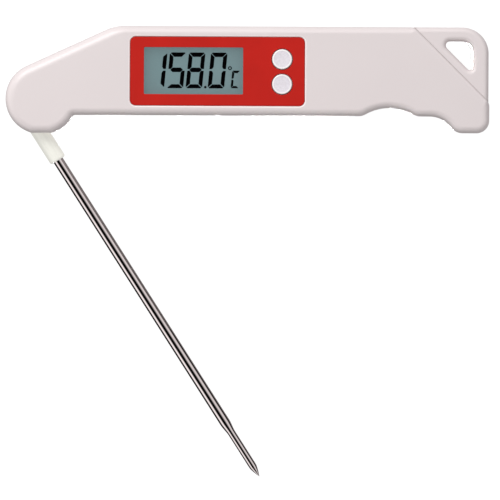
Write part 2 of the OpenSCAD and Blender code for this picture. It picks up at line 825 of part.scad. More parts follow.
module probe_tip() {
    plug = 1.6;
    color(steel)
        at_rest()
            along_probe(probe_len - point_len - plug)
                rotate_extrude()
                    polygon([[0, 0], [tip_d / 2 - tube_wall - 0.01, 0], [tip_d / 2 - tube_wall - 0.01, plug],
                        [tip_d / 2, plug], [tip_d / 2 * 0.93, plug + 0.7], [0.16, plug + point_len - 0.1],
                        [0, plug + point_len]]);
}

bead_x = probe_len - point_len - 3.2;
module thermistor() {
    color("#5a3a22")
        at_rest()
            along_probe(bead_x)
                sphere(r = 0.7);
}

module sensor_leads() {
    color("#d9b24a")
        at_rest()
            for (s = [-1, 1])
                wire([[0.4 * s, 0, mid_z - 0.3], [0.4 * s, -probe_offset + 0.3 * s, mid_z - 0.3],
                    [bead_x - 0.6, -probe_offset + 0.3 * s, mid_z - 0.3]], 0.4);
}

front_cover();
rear_cover();
front_panel();
display_window();
lcd_glass();
lcd_frame();
zebra_strip();
circuit_board();
controller_chip();
board_components();
reed_switch();
key_switches();
board_screws();
case_screws();
back_magnets();
coin_cell();
positive_contact();
negative_contact();
power_wires();
sensor_wires();
thrust_washer();
wave_spring();
battery_cap();
cap_seal();
key(key_ys[0]);  // upper_key
key_stem(key_ys[0]);  // upper_key_stem
key(key_ys[1]);  // lower_key
key_stem(key_ys[1]);  // lower_key_stem
probe_hub();
probe_collar();
probe_tube();
probe_tip();
thermistor();
sensor_leads();
hub_magnet();
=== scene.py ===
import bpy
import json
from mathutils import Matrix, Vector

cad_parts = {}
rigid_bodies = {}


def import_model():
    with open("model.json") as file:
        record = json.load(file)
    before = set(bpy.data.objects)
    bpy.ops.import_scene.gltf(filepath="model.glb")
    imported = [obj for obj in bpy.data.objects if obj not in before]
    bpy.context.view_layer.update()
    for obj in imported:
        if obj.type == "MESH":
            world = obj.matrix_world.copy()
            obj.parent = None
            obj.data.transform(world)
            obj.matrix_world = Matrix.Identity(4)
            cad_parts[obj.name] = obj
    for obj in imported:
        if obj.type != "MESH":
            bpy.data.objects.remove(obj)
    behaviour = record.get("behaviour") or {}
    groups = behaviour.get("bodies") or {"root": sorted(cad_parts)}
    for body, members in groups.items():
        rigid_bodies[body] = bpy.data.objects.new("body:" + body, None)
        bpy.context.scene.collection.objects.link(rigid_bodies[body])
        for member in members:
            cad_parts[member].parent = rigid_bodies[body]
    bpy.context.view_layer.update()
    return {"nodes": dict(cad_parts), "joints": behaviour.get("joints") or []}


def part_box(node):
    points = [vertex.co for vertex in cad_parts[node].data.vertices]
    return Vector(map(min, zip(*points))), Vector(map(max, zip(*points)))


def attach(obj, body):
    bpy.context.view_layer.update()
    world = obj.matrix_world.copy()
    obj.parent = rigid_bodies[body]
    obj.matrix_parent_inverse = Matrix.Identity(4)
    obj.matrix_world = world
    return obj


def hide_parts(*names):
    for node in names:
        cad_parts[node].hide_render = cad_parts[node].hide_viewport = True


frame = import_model()

import json
import math

import bmesh
import bpy
from mathutils import Matrix, Vector

# Everything below is built in millimetres, in the CAD frame, and turned into metres when a mesh is made.
MM = 0.001
SEGMENTS = 96                    # sides of a full-size turned piece
SMOOTH_ANGLE = math.radians(32)  # faces that turn by more than this meet in a sharp edge


# ---------------------------------------------------------------- reading the frame

def box_mm(node):
    low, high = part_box(node)
    return Vector(low) / MM, Vector(high) / MM


def joint(name):
    return next(j for j in frame["joints"] if j["name"] == name)


def corners(points):
    """The lowest and highest corner, in mm, of points in metres."""
    return (Vector([min(p[k] for p in points) for k in range(3)]) / MM,
            Vector([max(p[k] for p in points) for k in range(3)]) / MM)


def middle(low, high):
    return (low + high) / 2


REST_ANGLE = math.radians(joint("probe_fold")["range_deg"][1])   # how far the probe stands from folded
TO_REST = Matrix.Rotation(-REST_ANGLE, 4, "Z")
TO_FOLDED = Matrix.Rotation(REST_ANGLE, 4, "Z")


def folded_box(node):
    """The box of a probe node in mm with the probe folded along +X."""
    return corners([TO_FOLDED @ v.co for v in frame["nodes"][node].data.vertices])


def island_boxes(node):
    """The box in mm of each separate solid in a CAD node, from left to right."""
    bm = bmesh.new()
    bm.from_mesh(frame["nodes"][node].data)
    bmesh.ops.remove_doubles(bm, verts=bm.verts, dist=1e-6)
    left = set(bm.verts)
    boxes = []
    while left:
        stack = [left.pop()]
        found = []
        while stack:
            v = stack.pop()
            found.append(v.co)
            near = {e.other_vert(v) for e in v.link_edges} & left
            left -= near
            stack += near
        boxes.append(corners(found))
    bm.free()
    return sorted(boxes, key=lambda b: (round(b[0].x, 3), round(b[0].y, 3)))


FRONT_LOW, FRONT_HIGH = box_mm("front_cover")
PANEL_LOW, PANEL_HIGH = box_mm("front_panel")
LENS_LOW, LENS_HIGH = box_mm("display_window")
LCD_LOW, LCD_HIGH = box_mm("lcd_glass")
CAP_LOW, CAP_HIGH = box_mm("battery_cap")
CAP_R = (CAP_HIGH.x - CAP_LOW.x) / 2

HEAD_R = -FRONT_LOW.x
TOP_Y = FRONT_HIGH.y
END_X = FRONT_HIGH.x
FRONT_Z = FRONT_HIGH.z
MID_Z = FRONT_LOW.z
LOOP_Z = box_mm("rear_cover")[1].z

# Outline of the handle, as in the CAD source, with lengths in mm and angles in degrees
BOTTOM_Y = 5.15                  # lower edge, below the pivot
HEAD_FLAT_Y = 11.0               # flat at the bottom of the head, below the pivot
SHOULDER_A, SHOULDER_R = 24.65, 15.0
NECK_R = 1.2                     # hollow corner between head and lower edge
LIP_R = 4.5                      # lips of the scallop and of the guard
SCALLOP_X, SCALLOP_H, SCALLOP_R = 111.5, 2.62, 15.2
GUARD_X, GUARD_Y, GUARD_R = 124.5, 10.45, 8.6
END_R = 4.0
SEAM_X, SEAM_R, SEAM_GAP = 142.8, 3.0, 0.03    # the seam runs along x + y = SEAM_X in the front view
LOOP_SETBACK, LOOP_CORNER_R = 0.3, 8.4
HOLE_TOP_DROP, HOLE_SIDE_DROP, HOLE_SUM = 4.35, 5.35, 146.5    # its slanted side runs along x + y = HOLE_SUM
HOLE_BIG_R, HOLE_LEFT_R, HOLE_LOW_R = 3.5, 1.4, 1.0

# How wide the edges are rounded. The ramp, the top and the slim edges at the grip take a share of EDGE_R.
EDGE_R, LOOP_EDGE_R, SEAM_EDGE_R, HOLE_EDGE_R = 2.6, 1.95, 1.15, 1.6
RAMP_SHARE, TOP_SHARE, SLIM_SHARE = 1.25, 0.9, 0.85
SLIM = (SLIM_SHARE, SLIM_SHARE)

# Steps along an outline's arcs in degrees, finer on those larger than LARGE_R
LARGE_R, FINE_STEP, COARSE_STEP = 6, 4, 9

# Walls and ways inside the covers
WALL, FRONT_WALL, BACK_WALL = 1.8, 2.4, 1.8
RECESS = 0.9                     # depth of the panel's pocket
SLOT_H, GROOVE_H = 6.0, 4.4      # heights of the collar's slot and the tube's groove
BAR_TOP_Y = -2.2                 # top of the solid bar that the groove is cut into
SWING_ROOM, FOLD_ROOM = 0.3, 0.4    # beside the collar as it swings, and above the folded probe
SLOT_DEPTH = 2.5                 # of the slot in the head, which is hollow further in
NECK_SOLID_X, NECK_SOLID_Y = 2.4, 1.6    # left solid past the end and over the side of the folded collar
OUTSIDE = 30                     # a length well past the lower edge
SCREW_WAY_R, SCREW_WAY_DEPTH, SCREW_WAY_FLARE = 2.3, 5.0, 0.25
MAGNET_GAP, MAGNET_FLARE = 0.05, 0.2
CAP_GAP, CAP_SEAT_Z, CAP_FLARE = 0.15, 1.2, 0.3
CELL_WAY_R, CELL_WAY_LOW, CELL_WAY_HIGH = 10.1, 0.5, 7.2


# ---------------------------------------------------------------- outlines

def sin_d(a):
    return math.sin(math.radians(a))


def cos_d(a):
    return math.cos(math.radians(a))


def arc(cx, cy, r, start, end, turn=1, share=(1, 1), seam=(0, 0)):
    """Part of an outline. Turn is -1 on a hollow; share is how much of an inset its two ends take,
    and seam how far they follow the lighter rounding of the seam instead."""
    return {"c": (cx, cy), "r": r, "a": (start, end), "turn": turn, "share": share, "seam": seam}


def lower_edge():
    """The outline from the ramp round the head and along the grip, to the corner at the far end."""
    head_a = math.degrees(math.acos(HEAD_FLAT_Y / HEAD_R))
    neck = (math.sqrt((HEAD_R + NECK_R) ** 2 - (BOTTOM_Y + NECK_R) ** 2), -BOTTOM_Y - NECK_R)
    neck_a = math.degrees(math.atan2(neck[1], neck[0]))
    scallop_y = -BOTTOM_Y + SCALLOP_H - SCALLOP_R
    lip_dy = -BOTTOM_Y + LIP_R - scallop_y
    lip_dx = math.sqrt((SCALLOP_R + LIP_R) ** 2 - lip_dy ** 2)
    lip_a = math.degrees(math.atan2(lip_dy, lip_dx))
    guard_y = -BOTTOM_Y - GUARD_R
    guard_dy = -GUARD_Y + LIP_R - guard_y
    guard_dx = math.sqrt((GUARD_R + LIP_R) ** 2 - guard_dy ** 2)
    guard_a = math.degrees(math.atan2(guard_dy, guard_dx))
    return [
        arc(0, 0, HEAD_R, 90 + SHOULDER_A, 270 - head_a, share=(RAMP_SHARE, 1)),
        arc(0, 0, HEAD_R, 270 + head_a, 360 + neck_a),
        arc(*neck, NECK_R, 180 + neck_a, 90, -1, (1, SLIM_SHARE)),
        arc(SCALLOP_X - lip_dx, scallop_y + lip_dy, LIP_R, 270, 360 - lip_a, share=SLIM),
        arc(SCALLOP_X, scallop_y, SCALLOP_R, 180 - lip_a, lip_a, -1, SLIM),
        arc(SCALLOP_X + lip_dx, scallop_y + lip_dy, LIP_R, 180 + lip_a, 270, share=SLIM),
        arc(GUARD_X, guard_y, GUARD_R, 90, guard_a, -1, SLIM),
        arc(GUARD_X + guard_dx, guard_y + guard_dy, LIP_R, 180 + guard_a, 270, share=SLIM),
        arc(END_X - END_R, -GUARD_Y + END_R, END_R, 270, 360, share=SLIM),
    ]


def shoulder():
    cy = TOP_Y - SHOULDER_R
    cx = (cos_d(SHOULDER_A) * cy - HEAD_R + SHOULDER_R) / sin_d(SHOULDER_A)
    return [arc(cx, cy, SHOULDER_R, 90, 90 + SHOULDER_A, share=(TOP_SHARE, RAMP_SHARE))]


def seam_corner(other):
    """The centre of a seam corner's rounding: one coordinate from the other."""
    return SEAM_X - SEAM_R * math.sqrt(2) - other


def front_outline():
    right, top = END_X - SEAM_R, TOP_Y - SEAM_R
    return lower_edge() + [
        arc(right, seam_corner(right), SEAM_R, 0, 45, share=SLIM, seam=(0, 1)),
        arc(seam_corner(top), top, SEAM_R, 45, 90, share=SLIM, seam=(1, 0)),
    ] + shoulder()


def rear_outline():
    x, y = END_X - SEAM_R, seam_corner(END_X - SEAM_R)
    back = math.degrees(math.acos(1 - LOOP_SETBACK / (2 * SEAM_R)))
    return lower_edge() + [
        arc(x, y, SEAM_R, 0, back, share=SLIM),
        arc(x + 2 * SEAM_R * cos_d(back), y + 2 * SEAM_R * sin_d(back), SEAM_R, 180 + back, 180, -1, SLIM),
        arc(END_X - LOOP_SETBACK - LOOP_CORNER_R, TOP_Y - LOOP_CORNER_R, LOOP_CORNER_R, 0, 90, share=SLIM),
    ] + shoulder()


def hole_outline():
    top = TOP_Y - HOLE_TOP_DROP
    end = END_X - HOLE_SIDE_DROP
    low_x = end - HOLE_LOW_R
    left_y = top - HOLE_LEFT_R
    return [
        arc(low_x, HOLE_SUM + HOLE_LOW_R * math.sqrt(2) - low_x, HOLE_LOW_R, 225, 360, -1),
        arc(end - HOLE_BIG_R, top - HOLE_BIG_R, HOLE_BIG_R, 0, 90, -1),
        arc(HOLE_SUM + HOLE_LEFT_R * math.sqrt(2) - left_y, left_y, HOLE_LEFT_R, 90, 225, -1),
    ]


def rectangle_outline(low, high, r, grow=0.0):
    x0, y0, x1, y1 = low[0] - grow, low[1] - grow, high[0] + grow, high[1] + grow
    return [
        arc(x1 - r, y0 + r, r, 270, 360),
        arc(x1 - r, y1 - r, r, 0, 90),
        arc(x0 + r, y1 - r, r, 90, 180),
        arc(x0 + r, y0 + r, r, 180, 270),
    ]


def hollow(arcs):
    """The same outline for a hole, so that an inset makes it wider."""
    return [dict(a, turn=-1) for a in arcs]


def seam_inset(z):
    """How far the seam's edge is rounded in at height z."""
    up = max(0.0, z - (FRONT_Z - SEAM_EDGE_R)) / SEAM_EDGE_R
    return SEAM_EDGE_R * (1 - math.sqrt(max(0.0, 1 - up * up)))


def between(ends, u):
    return ends[0] + (ends[1] - ends[0]) * u


def outline_points(arcs, inset=0.0, shared=True, z=0.0):
    points = []
    for a in arcs:
        step = FINE_STEP if a["r"] > LARGE_R else COARSE_STEP
        n = max(2, math.ceil(abs(a["a"][1] - a["a"][0]) / step))
        for k in range(n + 1):
            u = k / n
            angle = between(a["a"], u)
            share = between(a["share"], u) if shared else 1
            seam = between(a["seam"], u) if shared else 0
            r = a["r"] - a["turn"] * (inset * share * (1 - seam) + seam_inset(z) * seam)
            points.append((a["c"][0] + r * cos_d(angle), a["c"][1] + r * sin_d(angle)))
    return points


# ---------------------------------------------------------------- meshes

def make_object(name, verts, faces):
    """An object from vertices in mm."""
    mesh = bpy.data.meshes.new(name)
    mesh.from_pydata([Vector(v) * MM for v in verts], [], faces)
    mesh.validate()
    obj = bpy.data.objects.new(name, mesh)
    bpy.context.scene.collection.objects.link(obj)
    fix_normals(obj)
    finish_shading(obj)
    return obj


def fix_normals(obj):
    bm = bmesh.new()
    bm.from_mesh(obj.data)
    bmesh.ops.recalc_face_normals(bm, faces=bm.faces)
    bm.to_mesh(obj.data)
    bm.free()


def finish_shading(obj):
    for p in obj.data.polygons:
        p.use_smooth = True
    obj.data.set_sharp_from_angle(angle=SMOOTH_ANGLE)


def weighted_normals(obj):
    """Shades a piece after its cuts. Large flat faces keep their own normal; only roundings look curved."""
    finish_shading(obj)
    modifier = obj.modifiers.new("weighted", "WEIGHTED_NORMAL")
    modifier.mode = "FACE_AREA"
    modifier.weight = 90
    modifier.keep_sharp = True
    bake_modifiers(obj)


def bake_modifiers(obj):
    deps = bpy.context.evaluated_depsgraph_get()
    mesh = bpy.data.meshes.new_from_object(obj.evaluated_get(deps))
    obj.modifiers.clear()
    old, obj.data = obj.data, mesh
    bpy.data.meshes.remove(old)


def cut(obj, *cutters):
    for c in cutters:
        modifier = obj.modifiers.new("cut", "BOOLEAN")
        modifier.operation = "DIFFERENCE"
        modifier.solver = "EXACT"
        modifier.object = c
        bake_modifiers(obj)
        bpy.data.objects.remove(c)
    return obj


def rounding(r, z, side, steps=12):
    """[inset, height] of the rings that round an edge, from the side wall to the face at z."""
    return [(r * (1 - cos_d(90 * k / steps)), z + side * r * (sin_d(90 * k / steps) - 1))
            for k in range(steps + 1)]


def past(rings):
    """The same rings with the last one run on beyond the face, for a cutter."""
    (i0, z0), (i1, z1) = rings[-2:]
    return rings[:-1] + [(2 * i1 - i0, 2 * z1 - z0)]


def ring_stack(name, arcs, rings, shared=True):
    """A solid whose outline follows each ring's inset, from the lowest ring to the highest."""
    loops = [outline_points(arcs, inset, shared, z) for inset, z in rings]
    n = len(loops[0])
    verts = [(x, y, rings[k][1]) for k, loop in enumerate(loops) for x, y in loop]
    faces = [list(range(n))[::-1], [(len(rings) - 1) * n + i for i in range(n)]]
    for k in range(len(rings) - 1):
        for i in range(n):
            j = (i + 1) % n
            faces.append((k * n + i, k * n + j, (k + 1) * n + j, (k + 1) * n + i))
    return make_object(name, verts, faces)


def slab(name, arcs, z0, z1, inset=0.0):
    """A plain plate inside an outline, inset evenly all round."""
    return ring_stack(name, arcs, [(inset, z0), (inset, z1)], shared=False)


def block(name, low, high):
    x0, y0, z0 = low
    x1, y1, z1 = high
    verts = [(x, y, z) for z in (z0, z1) for x, y in ((x0, y0), (x1, y0), (x1, y1), (x0, y1))]
    faces = [(0, 3, 2, 1), (4, 5, 6, 7), (0, 1, 5, 4), (1, 2, 6, 5), (2, 3, 7, 6), (3, 0, 4, 7)]
    return make_object(name, verts, faces)


def turned(name, profile, place, segments=SEGMENTS):
    """A solid of revolution. Profile is (height, radius) from end to end; place(height, x, y) is the point."""
    verts, rows = [], []
    turns = [2 * math.pi * k / segments for k in range(segments)]
    for h, r in profile:
        if r < 1e-6:
            rows.append([len(verts)])
            verts.append(place(h, 0, 0))
        else:
            rows.append(list(range(len(verts), len(verts) + segments)))
            verts += [place(h, r * math.cos(turn), r * math.sin(turn)) for turn in turns]
    faces = []
    for a, b in zip(rows, rows[1:]):
        for k in range(segments):
            j = (k + 1) % segments
            if len(a) == 1 and len(b) > 1:
                faces.append((a[0], b[k], b[j]))
            elif len(b) == 1 and len(a) > 1:
                faces.append((a[k], a[j], b[0]))
            elif len(a) > 1:
                faces.append((a[k], a[j], b[j], b[k]))
    return make_object(name, verts, faces)


def upright(cx, cy):
    return lambda h, x, y: (cx + x, cy + y, h)


def along_probe(y, z):
    """Places a turned solid along the folded probe and swings it to rest."""
    return lambda h, a, b: TO_REST @ Vector((h, y + a, z + b))


def disc(name, cx, cy, z0, z1, r):
    return turned(name, [(z0, 0), (z0, r), (z1, r), (z1, 0)], upright(cx, cy))


def flared_disc(name, cx, cy, z_face, z_deep, r, flare):
    """Cutter for a round hole whose mouth at z_face is rounded by flare."""
    side = 1 if z_face > z_deep else -1
    rings = past(rounding(flare, z_face, side, 4))
    profile = [(z_deep, 0), (z_deep, r)] + [(z, r + i) for i, z in rings] + [(rings[-1][1], 0)]
    return turned(name, profile, upright(cx, cy))


def join(name, parts):
    verts, faces, start = [], [], 0
    for p in parts:
        verts += [v.co / MM for v in p.data.vertices]
        faces += [[start + i for i in f.vertices] for f in p.data.polygons]
        start += len(p.data.vertices)
        bpy.data.objects.remove(p)
    return make_object(name, verts, faces)


# ---------------------------------------------------------------- materials

class Graph:
    """A small helper round a node tree."""

    def __init__(self, tree):
        self.tree = tree
        tree.nodes.clear()

    def add(self, kind, *values, **inputs):
        """A new node, with its inputs given in order or by name."""
        node = self.tree.nodes.new(kind)
        for key, value in [*enumerate(values), *inputs.items()]:
            self.put(node, key, value)
        return node

    def put(self, node, key, value):
        """Links an output to an input, or gives the input a plain value."""
        if isinstance(value, bpy.types.NodeSocket):
            self.tree.links.new(value, node.inputs[key])
        else:
            node.inputs[key].default_value = value

    def math(self, operation, *values):
        node = self.add("ShaderNodeMath", *values)
        node.operation = operation
        return node.outputs[0]

    def ramp(self, value, stops):
        node = self.add("ShaderNodeValToRGB", value)
        ramp = node.color_ramp
        while len(ramp.elements) < len(stops):
            ramp.elements.new(0.5)
        for element, (position, colour) in zip(ramp.elements, stops):
            element.position = position
            element.color = (*colour, 1)
        return node.outputs[0]

    def mix(self, factor, a, b):
        """Mixes two colours. Inputs 6 and 7 are the node's A and B for colours."""
        node = self.tree.nodes.new("ShaderNodeMix")
        node.data_type = "RGBA"
        for key, value in ((0, factor), (6, a), (7, b)):
            self.put(node, key, value)
        return node.outputs[2]


def srgb(r, g, b):
    def linear(c):
        c = c / 255
        return c / 12.92 if c <= 0.04045 else ((c + 0.055) / 1.055) ** 2.4
    return linear(r), linear(g), linear(b)


def scaled(colour, k):
    return tuple(min(1.0, c * k) for c in colour)


def new_material(name):
    material = bpy.data.materials.new(name)
    material.use_nodes = True
    return material, Graph(material.node_tree)


NOISE_ROUGHNESS = 0.55


def noise(graph, scale, detail, stretch=(1, 1, 1), turn=0.0):
    """Noise in the CAD frame. Scale is in cells per metre; stretch and turn set its grain."""
    place = graph.add("ShaderNodeTexCoord").outputs["Object"]
    turned_place = graph.add("ShaderNodeMapping", Vector=place, Rotation=(0, 0, turn)).outputs[0]
    mapped = graph.add("ShaderNodeMapping", Vector=turned_place, Scale=stretch).outputs[0]
    return graph.add("ShaderNodeTexNoise", Vector=mapped, Scale=scale, Detail=detail,
                     Roughness=NOISE_ROUGHNESS).outputs[0]


def surface(name, colour, rough, metal=0.0, patch=60, patch_amount=0.05, grain=2500, grain_depth=0.004,
            rough_spread=0.06, stretch=(1, 1, 1), turn=0.0, specular=0.5, glow=None, alpha=1.0):
    """A material with soft patches of colour, a fine grain in its surface and uneven gloss. Patch and grain
    are in cells per metre, grain_depth is in mm, and glow is a colour that it gives off evenly as painted
    light, not a lamp."""
    material, graph = new_material(name)
    patches = noise(graph, patch, 3, stretch, turn)
    tones = [(0.3, scaled(colour, 1 - patch_amount)), (0.7, scaled(colour, 1 + patch_amount))]
    fine = noise(graph, grain, 2, stretch, turn)
    bump = graph.add("ShaderNodeBump", Strength=1.0, Distance=grain_depth * MM, Height=fine)
    values = {
        "Base Color": graph.ramp(patches, tones),
        "Roughness": graph.math("MULTIPLY_ADD", fine, rough_spread * 2, rough - rough_spread),
        "Normal": bump.outputs[0],
        "Metallic": metal,
        "Specular IOR Level": specular,
        "Alpha": alpha,
    }
    if glow:
        values.update({"Emission Color": (*glow, 1), "Emission Strength": 1.0})
    shader = graph.add("ShaderNodeBsdfPrincipled", **values)
    graph.add("ShaderNodeOutputMaterial", Surface=shader.outputs[0])
    return material


def make_materials():
    return {
        "shell": surface("white_plastic", srgb(231, 221, 221), 0.34, patch=25, patch_amount=0.012, grain=1800,
                         grain_depth=0.0015),
        # The pocket's rim: the shell's white made lighter, as a painted highlight.
        "shell_rim_highlight": surface("rim_painted_highlight", srgb(250, 241, 240), 0.3, patch_amount=0.01, grain=1800,
                             grain_depth=0.001),
        "panel": surface("red_panel", srgb(195, 30, 21), 0.5, patch=90, patch_amount=0.06, grain=3500,
                         grain_depth=0.003, specular=0.15),
        # The display gives off a faint glow as painted light, so that it keeps its brightness in the shade of
        # its recess.
        "lcd": surface("lcd_glass", srgb(108, 134, 136), 0.4, patch=220, patch_amount=0.02, grain=5000,
                       grain_depth=0.0006, specular=0.1, glow=srgb(88, 104, 107)),
        "segments": surface("lcd_segments", srgb(3, 2, 4), 0.8, patch=400, patch_amount=0.2, grain=4000,
                            grain_depth=0.001, specular=0.0),
        "window": surface("clear_window", srgb(70, 78, 78), 0.12, patch=120, patch_amount=0.02, grain=300,
                          grain_depth=0.0002, rough_spread=0.03, specular=0.2, alpha=0.004),
        # The keys' rim: their white plastic made lighter, as a painted highlight.
        "key_rim_highlight": surface("key_rim_highlight", srgb(254, 250, 250), 0.25, patch=300, patch_amount=0.02,
                           grain_depth=0.001),
        "key_face": surface("key_face", srgb(232, 226, 233), 0.55, patch=1500, patch_amount=0.07, grain=3000,
                            grain_depth=0.012),
        # Ivory plastic with soft lengthwise streaks. It glows a little as painted light, so that it stays
        # bright in the head's shadow.
        "collar": surface("ivory_collar", srgb(196, 195, 187), 0.34, patch=420, patch_amount=0.2, grain=1500,
                          grain_depth=0.002, stretch=(0.06, 1, 1), turn=REST_ANGLE, glow=srgb(172, 171, 165)),
        # Drawn steel: its grain runs along the probe.
        "tube": surface("polished_steel", (0.71, 0.645, 0.64), 0.045, metal=1.0, patch=45, patch_amount=0.04,
                        grain=160, grain_depth=0.0008, rough_spread=0.03, stretch=(1, 60, 60),
                        turn=REST_ANGLE),
        "steel": surface("screw_steel", (0.50, 0.49, 0.48), 0.32, metal=1.0, patch=400, patch_amount=0.1,
                         grain=3000, grain_depth=0.003),
        "plated": surface("nickel_plate", (0.72, 0.72, 0.73), 0.22, metal=1.0, patch=200, grain_depth=0.0015),
        "brass": surface("contact_metal", (0.70, 0.62, 0.40), 0.3, metal=1.0, patch=400, patch_amount=0.08,
                         grain=3000, grain_depth=0.002),
        "lead": surface("lead_wire", (0.70, 0.42, 0.16), 0.35, metal=1.0, patch=900, patch_amount=0.1,
                        grain=3000),
        "wire": surface("wire_cover", srgb(150, 36, 30), 0.45, patch=700, patch_amount=0.08, grain=3000),
        "rubber": surface("dark_rubber", srgb(52, 52, 54), 0.75, patch=600, patch_amount=0.12, grain=3500,
                          grain_depth=0.01),
        "black": surface("black_plastic", srgb(40, 40, 42), 0.55, patch=500, patch_amount=0.12, grain=3500,
                         grain_depth=0.006),
        "board": surface("green_board", srgb(44, 96, 58), 0.4, patch=500, patch_amount=0.25, grain=2200,
                         grain_depth=0.01),
        "frame": surface("moulded_white", srgb(228, 226, 220), 0.5, patch=200, patch_amount=0.04),
    }


MATERIALS = make_materials()


def dress(obj, material, body, slot, *nodes):
    """Gives a piece its material and body, and hides the CAD nodes that it stands for."""
    obj.data.materials.clear()
    obj.data.materials.append(MATERIALS[material])
    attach(obj, body)
    if nodes:
        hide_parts(*nodes)


# ---------------------------------------------------------------- the two covers

# Keys, window and panel
KEY_LOW, KEY_HIGH = box_mm("upper_key")
KEY_CENTRES = [middle(*box_mm(node)) for node in ("upper_key", "lower_key")]
KEY_FLANGE = 0.5                 # how far a key's foot stands out under the cover
KEY_R = (KEY_HIGH.x - KEY_LOW.x) / 2 - KEY_FLANGE
LENS_LIP = Vector((1.2, 1.2, 0))    # how far the window plate runs in under the edge of its opening
WINDOW_LOW, WINDOW_HIGH = LENS_LOW + LENS_LIP, LENS_HIGH - LENS_LIP
PANEL_R, LENS_R = 1.75, 0.8      # corners of the panel and of the window plate
FIT_GAP = 0.1                    # round each of them in its pocket
PANEL_EDGE_R, OPENING_EDGE_R = 0.18, 0.12    # rounding of the panel's edge and of its openings
RIM_R, RIM_ROOM = 0.45, 0.6      # rounding of the panel's pocket, and how far out its painted highlight may reach
PARTING, JOINT_GAP = 0.16, 0.02    # small bevel along the parting line, and the gap between the covers

# The probe, folded along +X
PROBE_LOW, PROBE_HIGH = folded_box("probe_tube")
COLLAR_LOW, COLLAR_HIGH = folded_box("probe_collar")
TIP_LOW, TIP_HIGH = folded_box("probe_tip")
AXIS_Y = (COLLAR_LOW.y + COLLAR_HIGH.y) / 2
AXIS_Z = (COLLAR_LOW.z + COLLAR_HIGH.z) / 2
COLLAR_R = (COLLAR_HIGH.z - COLLAR_LOW.z) / 2
TUBE_R = (PROBE_HIGH.z - PROBE_LOW.z) / 2
TIP_R = (TIP_HIGH.z - TIP_LOW.z) / 2


def interior_cutter(z0, z1):
    """The hollow inside both covers, without the bar that holds the groove and the solid part of the neck."""
    inside = slab("hollow", front_outline(), z0, z1, WALL)
    left = HEAD_R - WALL + 0.05
    neck_top = AXIS_Y + COLLAR_R + NECK_SOLID_Y
    bar = block("bar", (left, -OUTSIDE, z0 - 1), (END_X, BAR_TOP_Y, z1 + 1))
    neck = block("neck", (left, -OUTSIDE - 1, z0 - 2), (COLLAR_HIGH.x + NECK_SOLID_X, neck_top, z1 + 2))
    return cut(inside, bar, neck)


def slot_cutters():
    """The slot that the collar swings through and the groove that the tube folds into. The blocks reach
    different distances out of the handle, so that no two of their faces lie in one plane."""
    half, groove = SLOT_H / 2, GROOVE_H / 2
    low, high = MID_Z - half, MID_Z + half
    swing = block("swing", (-20, -20, low), (0, -AXIS_Y + COLLAR_R + SWING_ROOM, high))
    collar = block("collar_way", (-0.01, -21, low), (COLLAR_HIGH.x + 0.8, AXIS_Y + COLLAR_R + FOLD_ROOM, high))
    way = block("tube_way", (COLLAR_HIGH.x, -22, MID_Z - groove),
                (TIP_HIGH.x + 1, AXIS_Y + TUBE_R + FOLD_ROOM, MID_Z + groove))
    hubs = [disc("hub_space", 0, 0, 0, FRONT_Z, HEAD_R - SLOT_DEPTH) for _ in range(2)]
    return cut(swing, hubs[0]), cut(collar, hubs[1]), way


def build_front_cover():
    floor = MID_Z + JOINT_GAP
    rings = [(PARTING, floor), (0, floor + PARTING)] + rounding(EDGE_R, FRONT_Z, 1)
    cover = ring_stack("case_front", front_outline(), rings)
    cut(cover, interior_cutter(MID_Z - 1, FRONT_Z - FRONT_WALL))
    cut(cover, *slot_cutters())
    cut_panel_openings(cover)
    weighted_normals(cover)
    dress(cover, "shell", "handle", "shell", "front_cover")
    paint_rim_highlight(cover)


def cut_panel_openings(cover):
    inside, outside = FRONT_Z - FRONT_WALL - 1, FRONT_Z + 1
    pocket = hollow(rectangle_outline(PANEL_LOW, PANEL_HIGH, PANEL_R + FIT_GAP, FIT_GAP))
    cut(cover, ring_stack("pocket", pocket, [(0, FRONT_Z - RECESS)] + past(rounding(RIM_R, FRONT_Z, 1, 5))))
    cut(cover, slab("lens_seat", rectangle_outline(LENS_LOW, LENS_HIGH, LENS_R + FIT_GAP, FIT_GAP),
                    LENS_LOW.z, outside))
    cut(cover, slab("opening", rectangle_outline(WINDOW_LOW, WINDOW_HIGH, 0.5, 0.2), inside, outside))
    for centre in KEY_CENTRES:
        cut(cover, disc("key_way", centre.x, centre.y, inside, outside, KEY_R + 0.2))


def paint_rim_highlight(cover):
    """The rounded rim of the panel's pocket is a little smoother than the rest, and is given a lighter colour
    as a painted highlight.
    """
    cover.data.materials.append(MATERIALS["shell_rim_highlight"])
    for p in cover.data.polygons:
        x, y, z = p.center / MM
        in_x = PANEL_LOW.x - RIM_ROOM < x < PANEL_HIGH.x + RIM_ROOM
        in_y = PANEL_LOW.y - RIM_ROOM < y < PANEL_HIGH.y + RIM_ROOM
        if in_x and in_y and FRONT_Z - RIM_R - 0.05 < z < FRONT_Z - 0.001:
            p.material_index = 1


def seam_block():
    """The space of the front cover, from the diagonal seam back to the head."""
    space = block("seam", (-300, -150, MID_Z - JOINT_GAP), (0, 150, FRONT_Z + 5))
    place = Matrix.Translation(Vector((SEAM_X + SEAM_GAP, 0, 0)) * MM)
    space.data.transform(place @ Matrix.Rotation(math.radians(45), 4, "Z"))
    return space


def build_rear_cover():
    rings = rounding(EDGE_R, 0, -1)[::-1] + rounding(LOOP_EDGE_R, LOOP_Z, 1)
    cover = ring_stack("case_rear", rear_outline(), rings)
    cut(cover, seam_block())
    cut(cover, interior_cutter(BACK_WALL, MID_Z + 1))
    cut(cover, *slot_cutters())
    through = past(rounding(HOLE_EDGE_R, 0, -1))[::-1] + past(rounding(HOLE_EDGE_R, LOOP_Z, 1))
    cut(cover, ring_stack("hang_hole", hole_outline(), through))
    cut_back_openings(cover)
    weighted_normals(cover)
    dress(cover, "shell", "handle", "shell", "rear_cover")


